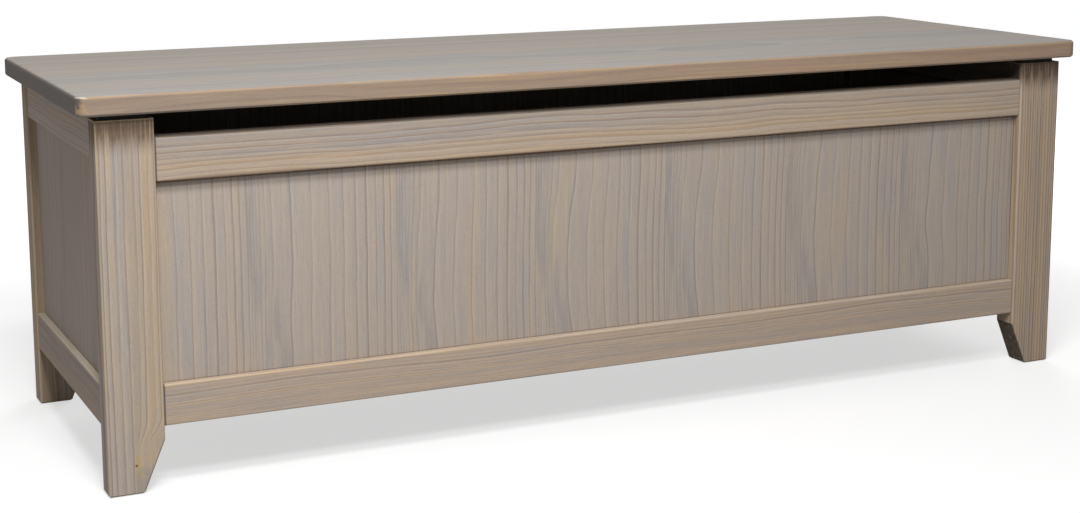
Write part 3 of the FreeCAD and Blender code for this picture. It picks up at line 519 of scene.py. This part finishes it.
def sawn_pine(name, grain, pith=(-70, 160), spacing=6.0, seed=0.0, sway=5.0, uneven=5.0,
              strips=None, knot=None, base=WASH, tints=None, glued=True, contrast=1.0,
              stain=1.0, ochres=1.0, blues=1.0, blue_fade=None, line_start=0.52, edges=None,
              lid_shadow=0.0, lid_shadow_tint=STAIN_AND_PAINTED_SHADE, ledge=None, painted_shading=None, **finish):
    """Grey-washed pine for a sawn piece.

    pith        where the tree's middle is, in the thickness and width directions
    spacing     width of a year's growth
    seed        which of many figures the board has
    sway        how far the lines wander
    uneven      how far the years' growth differs
    strips      the split, and the pith, spacing and wash of the second strip, where two are
                glued up, with the tint below its knot
    knot        place of a small knot in the second strip, along and across the board
    base        the wash itself
    tints       washes of the strips that a wide board is glued up from, or, where it isn't
                glued, washes that run into each other across it
    contrast    how far the lines and bands stand out
    stain       how far the wash is blotched
    ochres      how warm the warm bands are
    blues       how blue the blue bands are
    blue_fade   how much of the blue there is at the two ends of the board
    line_start  where in a year's growth its dark line starts
    edges       colours of the two ends of a wide board's long edges, and of its end faces
    lid_shadow  how strong the painted shadow of the lid is near a post's top; any at all also
                paints shade on the faces that look down, on the top and on the flank, and a paler
                flank
    lid_shadow_tint  colour of the painted shadow near the top
    ledge       painted light or shade on the upward face: its colour, its share, and how upright a face may be to take it
    painted_shading  painted light and shade: how light the two ends of the board are
    finish      what finish_pine takes
    """
    wood = Wood(name, grain, seed)
    shader = wood.shader
    second = shader.math("GREATER_THAN", wood.wide, strips["split"]) if strips else None
    rings, ring_seed = solid_rings(wood, pith, spacing, sway, uneven, strips, second, knot)
    phase = shader.math("FRACT", rings)
    strength, blueness, warmth = line_strengths(shader, rings, ring_seed)
    if knot:
        _, above = wood.knot_distance(knot)
        plain = shader.times(second, shader.ramp(above, *PLAIN_MM, 1.0, 0.0))
        contrast = shader.math("MULTIPLY_ADD", plain, -0.85 * contrast, contrast)
    bluish = 1.0
    if blue_fade:
        bluish = shader.ramp(wood.along, -wood.half_length, wood.half_length, *blue_fade)

    # each year's growth goes from pale through ochre to its dark line
    early = shader.ramp(phase, 0.02, 0.4, 0.42, 0.0)
    ochre = shader.times(shader.ramp(phase, 0.2, 0.6), shader.ramp(phase, 0.7, 0.95, 1.0, 0.0))
    ochre = shader.times(ochre, shader.ramp(warmth, 0.2, 0.9, 0.1 * ochres, 0.8 * ochres))
    late = shader.times(shader.ramp(phase, line_start, 0.9),
                        shader.ramp(phase, 0.93, 1.0, 1.0, 0.0))
    late = shader.times(late, shader.ramp(strength, 0.0, 1.0, 0.35, 0.85))

    colour = base
    if strips:
        colour = shader.mix(colour, strips["wash"], second)
    if tints:
        colour = washed_strips(wood, tints, glued)
        if blue_fade:
            colour = shader.mix(tints[0], colour, bluish)
    blue_patch = shader.ramp(wood.streaks(*BLUE_PATCHES), 0.5, 0.75, 0.0, 0.8 * stain)
    warm_patch = shader.ramp(wood.streaks(*WARM_PATCHES), 0.5, 0.8, 0.0, 0.6 * stain)
    colour = shader.mix(colour, BLUE_WASH, shader.times(blue_patch, bluish))
    colour = shader.mix(colour, WARM_WASH, warm_patch)
    blue_ring = shader.times(shader.ramp(blueness, 0.62, 0.9, 0.0, 0.7 * blues), bluish)
    warm_ring = shader.ramp(warmth, 0.5, 0.9, 0.0, 0.6 * ochres)
    for tint, amount in ((BLUE_RING, blue_ring), (WARM_WASH, warm_ring), (EARLY_WOOD, early)):
        colour = shader.mix(colour, tint, shader.times(amount, contrast))
    if edges:
        colour, contrast = edged(wood, colour, contrast, edges)
    colour = shader.mix(colour, OCHRE_BAND, shader.times(ochre, contrast))

    line_blue = shader.ramp(blueness, 0.35, 0.8, 0.0, min(1.0, 1.4 * blues))
    line_colour = shader.mix(BROWN_LINE, BLUE_LINE, shader.times(line_blue, bluish))
    lines = shader.times(late, contrast)
    if strips:
        lines = shader.times(lines, shader.math("MULTIPLY_ADD", second, -0.35, 1.0))
    colour = shader.mix(colour, line_colour, lines)
    if knot:
        colour = knotted(wood, colour, knot, second, strips["below"])
    if lid_shadow:
        colour = paint_post_shading(wood, colour, lid_shadow, lid_shadow_tint)
    # painted light or shade on the faces that look up
    if ledge:
        tint, share, low, high = ledge
        colour = shader.mix(colour, tint, shader.ramp(wood.normal()[Z], low, high, 0.0, share))
    # painted light and shade from one end of the board to the other
    if painted_shading:
        colour = wood.with_painted_shading(colour, wood.along, wood.half_length, painted_shading)
    return finish_pine(wood, colour, late, bluish=bluish, **finish)


def veneer_pine(name, opening, half_width, first_mm, seed, painted_shading=(1.0, 1.0), bluish=1.0):
    """Grey-washed pine veneer on an upright panel: one figure that repeats leaf by leaf.

    opening     lowest and highest heights in millimetres that show between the rails
    half_width  half of what shows between the posts, in millimetres
    first_mm    how far a joint between two leaves lies from the panel's middle
    painted_shading  painted light and shade: how light the panel's lower and upper ends are
    bluish      how much of the blue there is
    """
    wood = Wood(name, Z, seed)
    shader = wood.shader
    rings, part = leaf_rings(wood, first_mm)
    phase = shader.math("FRACT", rings)
    strength, blueness, _ = line_strengths(shader, rings, seed, repeat=LEAF_RINGS)
    # where lines crowd, each takes more of its year's growth
    crowded = shader.add(shader.ramp(part, 0.1, 0.17, 0.3, 0.0),
                         shader.ramp(part, 0.45, 0.95, 0.0, 0.25))
    rise = shader.ramp(phase, shader.math("SUBTRACT", 0.86, crowded), 0.97)
    late = shader.times(rise, shader.ramp(phase, 0.975, 1.0, 1.0, 0.0))
    late = shader.times(late, shader.times(shader.ramp(strength, 0.0, 1.0, 0.28, 0.6),
                                           shader.ramp(part, 0.09, 0.15, 0.6, 1.0)))

    # a blue stain slants up each leaf beside its crowded lines
    smudge, _ = shader.noise(shader.vector(
        shader.times(wood.along, 1 / 115), shader.times(part, 15.0), seed + SMUDGE_SEED),
        detail=3.0, roughness=0.6)
    band = shader.add(part, shader.times(wood.along, 1 / 900))
    stain = shader.times(shader.ramp(band, -0.03, 0.04), shader.ramp(band, 0.09, 0.19, 1.0, 0.0))
    stain = shader.times(stain, shader.ramp(smudge, 0.42, 0.62, 0.15, 1.0))
    blue_patch = shader.ramp(wood.streaks(*VENEER_BLUE), 0.5, 0.75, 0.0, 0.65 * bluish)
    warm_patch = shader.ramp(wood.streaks(*VENEER_WARM), 0.5, 0.8, 0.0, 0.5)
    colour = shader.mix(WASH, BLUE_WASH, blue_patch)
    colour = shader.mix(colour, WARM_WASH, warm_patch)
    colour = shader.mix(colour, EARLY_WOOD, shader.ramp(phase, 0.0, 0.3, 0.3, 0.0))
    line_colour = shader.mix(BROWN_LINE, BLUE_LINE,
                             shader.ramp(blueness, 0.25, 0.65, 0.0, bluish))
    colour = shader.mix(colour, line_colour, late)
    colour = shader.mix(colour, BLUE_STAIN, shader.times(stain, 0.42))

    # shade in the grooves round what shows of the panel
    middle = (opening[1] + opening[0]) / 2 - wood.board.centre.z * MM
    reach = (opening[1] - opening[0]) / 2
    above = shader.add(wood.along, -middle)
    below_rail = shader.math("SUBTRACT", reach, above)
    over_ledge = shader.add(above, reach)
    off_post = shader.math("SUBTRACT", half_width, shader.math("ABSOLUTE", wood.wide))
    colour = shader.mix(colour, PAINTED_GROOVE_SHADE, shader.ramp(off_post, *POST_LINE_MM, 0.7, 0.0))
    colour = shader.mix(colour, PAINTED_GROOVE_SHADE, shader.ramp(below_rail, *RAIL_LINE_MM, 0.9, 0.0))
    # painted shade just above the bottom rail's ledge
    colour = shader.mix(colour, JOINT_STAIN_AND_SHADE, shader.ramp(over_ledge, *LEDGE_LINE_MM, 0.6, 0.0))
    # painted light and shade from the panel's bottom to its top
    colour = wood.with_painted_shading(colour, above, reach, painted_shading)
    return finish_pine(wood, colour, late, arris=0.0, blotches=0.7, bluish=bluish)


# ------------------------------------------------------------------ metal and rubber

BRIGHT_ZINC = srgb(188, 186, 180)
DULL_ZINC = srgb(170, 168, 162)
ZINC_BLOOM = srgb(150, 146, 138)
RUBBER = srgb(38, 37, 36)
DUSTY_RUBBER = srgb(62, 60, 57)


def zinc(name, tint, roughness):
    """Zinc-plated steel with fine draw marks and dull patches."""
    shader = new_material(name)
    place = shader.coordinates("Object")
    patches, _ = shader.noise(place, scale=90.0, detail=4.0, roughness=0.6)
    scratches, _ = shader.noise(place, scale=900.0)
    colour = shader.mix(tint, ZINC_BLOOM, shader.ramp(patches, 0.45, 0.7, 0.0, 0.5))
    rough = shader.math("MULTIPLY_ADD", patches, 0.22, roughness - 0.08)
    return shader.principled(Base_Color=colour, Metallic=1.0, Roughness=rough,
                             Normal=shader.bump(scratches, 0.00002, 0.3))


def black_rubber():
    shader = new_material("buffer_rubber")
    place = shader.coordinates("Object")
    grit, _ = shader.noise(place, scale=1500.0)
    dust, _ = shader.noise(place, scale=160.0, detail=3.0)
    colour = shader.mix(RUBBER, DUSTY_RUBBER, shader.ramp(dust, 0.45, 0.75))
    return shader.principled(Base_Color=colour, Roughness=0.8,
                             Normal=shader.bump(grit, 0.00004, 0.4))


# ------------------------------------------------------------------ dressing the parts

SEED_STEP = 1.7

POSTS = {
    "front_left_post": dict(
        pith=(35, -230), spacing=7.0, seed=1.0, sway=3.0, uneven=1.8,
        strips={"split": -2.0, "pith": (-62, -34), "spacing": 5.5,
                "wash": srgb(178, 162, 143), "below": srgb(151, 143, 137)},
        knot=(-157, -1.0), base=srgb(172, 161, 152), contrast=0.95, ochres=0.5, blues=0.4,
        # painted shading darker towards the top, and the painted shadow of the lid near the top
        line_start=0.62, painted_shading=(1.015, 0.945), arris=1.15, lid_shadow=1.3,
        lid_shadow_tint=srgb(112, 92, 75)),
    "front_right_post": dict(
        pith=(-40, 210), spacing=4.0, seed=2.0, sway=1.5, uneven=1.4,
        tints=(srgb(176, 163, 152), srgb(174, 161, 150)) + 5 * (srgb(169, 151, 133),),
        glued=False, contrast=1.4, ochres=0.8, blues=0.25, arris=0.3, lid_shadow=1.3,
        lid_shadow_tint=srgb(90, 72, 61)),
    "back_left_post": dict(pith=(90, 110), spacing=5.0, seed=3.0, lid_shadow=0.3),
    "back_right_post": dict(pith=(70, -120), spacing=5.5, seed=4.0, lid_shadow=0.3),
}

RAILS = {
    "bottom": dict(spacing=3.4, sway=6.0, contrast=0.62, stain=0.7, ochres=0.45, blues=0.6,
                   tints=(srgb(182, 163, 147), srgb(179, 161, 145)), arris=0.65),
    "top": dict(spacing=6.0, sway=8.0, contrast=0.9, stain=0.7, ochres=0.5, blues=0.6,
                tints=(srgb(179, 161, 142), srgb(175, 158, 142), srgb(162, 153, 147)),
                arris=0.15),
}
# painted shade of the lid on the rail's top face, and painted shading darker at the left end
FRONT_TOP_RAIL = dict(ledge=(STAIN_AND_PAINTED_SHADE, 0.8, 0.08, 0.65), painted_shading=(0.945, 1.04),
                      blue_fade=(1.1, 0.45))
SIDE_RAILS = {
    "bottom": dict(contrast=0.5, stain=0.4, arris=0.25,
                   tints=(srgb(163, 147, 138), srgb(159, 144, 136)),
                   # painted highlight on the top face of a side bottom rail
                   ledge=(srgb(208, 196, 174), 0.6, 0.5, 0.85)),
    "top": dict(contrast=0.5, stain=0.4, arris=0.25,
                tints=(srgb(194, 178, 168), srgb(190, 174, 164))),
}
LEFT_SEAM_MM, RIGHT_SEAM_MM = 1.7, 0.5

LONG_PANELS = dict(first_mm=44.0)
# painted shading: side panels darker at the bottom and lighter at the top
SIDE_PANELS = dict(first_mm=25.0, painted_shading=(0.94, 1.07), bluish=0.4)

INSIDE = dict(pith=(-60, 90), spacing=5.5, contrast=0.75, ochres=0.5, blues=0.6, arris=0.6)

LID = dict(
    pith=(-150, -60), spacing=8.5, seed=30.0, sway=9.0,
    tints=(srgb(151, 148, 145), srgb(147, 146, 144), srgb(156, 150, 143), srgb(153, 149, 143)),
    contrast=0.38, stain=0.14, ochres=0.32, blues=0.2, blotches=0.3, arris=0.0,
    # painted shading: the lid darker towards its left end
    edges=(srgb(156, 137, 120), srgb(164, 138, 118), srgb(96, 90, 87)), painted_shading=(0.905, 1.01),
    roughness=0.7, gloss=0.12)


def dress(name, material):
    """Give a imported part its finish."""
    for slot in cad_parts[name].material_slots:
        slot.material = material


def rail_finish(side, level, seams):
    finish = dict(RAILS[level], glued=False)
    if side in ("left", "right"):
        finish.update(SIDE_RAILS[level])
    else:
        finish["seams"] = seams
    if (side, level) == ("front", "top"):
        finish.update(FRONT_TOP_RAIL)
    return finish


def dress_frames():
    """Rails and panels of the four sides."""
    long_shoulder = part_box("front_right_post")[0].x * MM
    side_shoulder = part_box("back_right_post")[0].y * MM
    seams = ((-long_shoulder, LEFT_SEAM_MM), (long_shoulder, RIGHT_SEAM_MM))
    seed = 10.0
    for side, grain, half_width, panel in (("front", X, long_shoulder, LONG_PANELS),
                                           ("back", X, long_shoulder, LONG_PANELS),
                                           ("left", Y, side_shoulder, SIDE_PANELS),
                                           ("right", Y, side_shoulder, SIDE_PANELS)):
        for level in ("bottom", "top"):
            name = "{0}_{1}_rail".format(side, level)
            dress(name, sawn_pine(name, grain, pith=(-70, 150 + 21 * (seed % 3)), seed=seed,
                                  **rail_finish(side, level, seams)))
            seed += SEED_STEP
        name = side + "_panel"
        opening = (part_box(side + "_bottom_rail")[1].z * MM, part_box(side + "_top_rail")[0].z * MM)
        dress(name, veneer_pine(name, opening, half_width, seed=seed, **panel))
        seed += SEED_STEP


def dress_inside():
    """Bottom, cleats and lid battens."""
    seed = 40.0
    for name, grain in (("bottom_panel", X), ("bottom_bearer", Y), ("front_cleat", X),
                        ("back_cleat", X), ("left_cleat", Y), ("right_cleat", Y),
                        ("left_lid_batten", Y), ("right_lid_batten", Y)):
        dress(name, sawn_pine(name, grain, seed=seed, **INSIDE))
        seed += SEED_STEP


def dress_wood():
    for name, finish in POSTS.items():
        dress(name, sawn_pine(name, Z, **finish))
    dress_frames()
    dress_inside()
    dress("lid_panel", sawn_pine("lid_panel", X, **LID))


def dress_hardware():
    bright = zinc("zinc_plate", BRIGHT_ZINC, 0.34)
    dull = zinc("zinc_screws", DULL_ZINC, 0.42)
    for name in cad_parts:
        if name.endswith(("_leaf", "_pin")) or name.startswith("stay_"):
            dress(name, bright)
        elif name.endswith(("_screws", "_brads")):
            dress(name, dull)
    dress("lid_buffers", black_rubber())


# ------------------------------------------------------------------ camera, floor, light

CAMERA_PLACE = (-0.9485, -1.9433, 0.6192)
CAMERA_YAW, CAMERA_PITCH, CAMERA_ROLL = 25.43, 9.42, 0.15
CAMERA_LENS_MM = 62.02
CAMERA_SENSOR_MM = 36.0
CAMERA_SHIFT = -0.085

FLOOR_REACH = 30.0
FLOOR_DROP = 0.0006         # the feet stand on the frame's zero, clear of the floor's face
FLOOR_GREY = (0.42, 0.42, 0.42, 1)
LIFT_FROM, LIFT_TO = 0.5, 2.0       # distances from the chest's middle
LIFT_NEAR, LIFT_FAR = 0.6, 0.9

WHITE = (1, 1, 1, 1)
WORLD_FILL = 0.235

# each lamp's place, target, width, height and power in watts
LAMPS = {
    "front": ((-0.65, -1.4, 1.5), (-0.3, -0.19, 0.2), 0.5, 0.3, 16.2),
    "high": ((-0.65, -1.0, 1.7), (-0.3, -0.15, 0.3), 0.5, 0.3, 19.6),
    "behind": ((1.3, 1.9, 0.9), (0.1, 0.1, 0.15), 1.4, 0.8, 34.0),
}


def place_camera():
    data = bpy.data.cameras.new("camera")
    data.sensor_width = CAMERA_SENSOR_MM
    data.lens = CAMERA_LENS_MM
    data.shift_y = CAMERA_SHIFT
    camera = bpy.data.objects.new("camera", data)
    camera.location = CAMERA_PLACE
    camera.rotation_euler = (math.radians(90 - CAMERA_PITCH), math.radians(CAMERA_ROLL),
                             math.radians(-CAMERA_YAW))
    bpy.context.scene.collection.objects.link(camera)
    bpy.context.scene.camera = camera


def background_rays(shader):
    """1 for camera, glossy and transmission rays, which all show the white background."""
    path = shader.node("ShaderNodeLightPath")
    seen = path.outputs["Is Camera Ray"]
    for name in ("Is Glossy Ray", "Is Transmission Ray"):
        seen = shader.math("MAXIMUM", seen, path.outputs[name])
    return seen


def white_floor():
    """Plainly lit material whose lift to white grows away from the chest."""
    shader = new_material("floor_white")
    lit = shader.node("ShaderNodeBsdfDiffuse")
    lit.inputs["Color"].default_value = FLOOR_GREY
    distance = shader.node("ShaderNodeVectorMath", operation="LENGTH")
    shader.feed(distance.inputs[0], shader.coordinates("Object"))
    lift = shader.node("ShaderNodeEmission")
    shader.feed(lift.inputs["Strength"], shader.ramp(distance.outputs["Value"], LIFT_FROM,
                                                     LIFT_TO, LIFT_NEAR, LIFT_FAR))
    seen = shader.node("ShaderNodeAddShader")
    shader.feed(seen.inputs[0], lit.outputs[0])
    shader.feed(seen.inputs[1], lift.outputs[0])
    choose = shader.node("ShaderNodeMixShader")
    for socket, value in zip(choose.inputs,
                             (background_rays(shader), lit.outputs[0], seen.outputs[0])):
        shader.feed(socket, value)
    return shader.close(choose.outputs[0])


def lay_floor():
    mesh = bpy.data.meshes.new("floor")
    corners = [(x * FLOOR_REACH, y * FLOOR_REACH, 0)
               for x, y in ((-1, -1), (1, -1), (1, 1), (-1, 1))]
    mesh.from_pydata(corners, [], [(0, 1, 2, 3)])
    mesh.materials.append(white_floor())
    floor = bpy.data.objects.new("floor", mesh)
    floor.location.z = -FLOOR_DROP
    bpy.context.scene.collection.objects.link(floor)


def light_world():
    """Even studio light, seen as white behind the chest and in its metal."""
    world = bpy.data.worlds.new("studio")
    bpy.context.scene.world = world
    shader = Shader(world)
    background = shader.node("ShaderNodeBackground")
    background.inputs["Color"].default_value = WHITE
    shader.feed(background.inputs["Strength"],
                shader.ramp(background_rays(shader), 0.0, 1.0, WORLD_FILL, 1.0))
    shader.close(background.outputs[0], "ShaderNodeOutputWorld")


def hang_lamps():
    """Two softboxes on the left in front and one behind, which no gloss shows."""
    for name, (place, target, width, height, power) in LAMPS.items():
        data = bpy.data.lights.new(name, "AREA")
        data.shape = "RECTANGLE"
        data.size, data.size_y = width, height
        data.energy = power
        lamp = bpy.data.objects.new(name, data)
        lamp.location = place
        towards = Vector(target) - Vector(place)
        lamp.rotation_euler = towards.to_track_quat("-Z", "Y").to_euler()
        lamp.visible_glossy = name != "behind"
        bpy.context.scene.collection.objects.link(lamp)


place_camera()
lay_floor()
light_world()
hang_lamps()
dress_wood()
dress_hardware()

bpy.context.scene.view_settings.view_transform = "Standard"
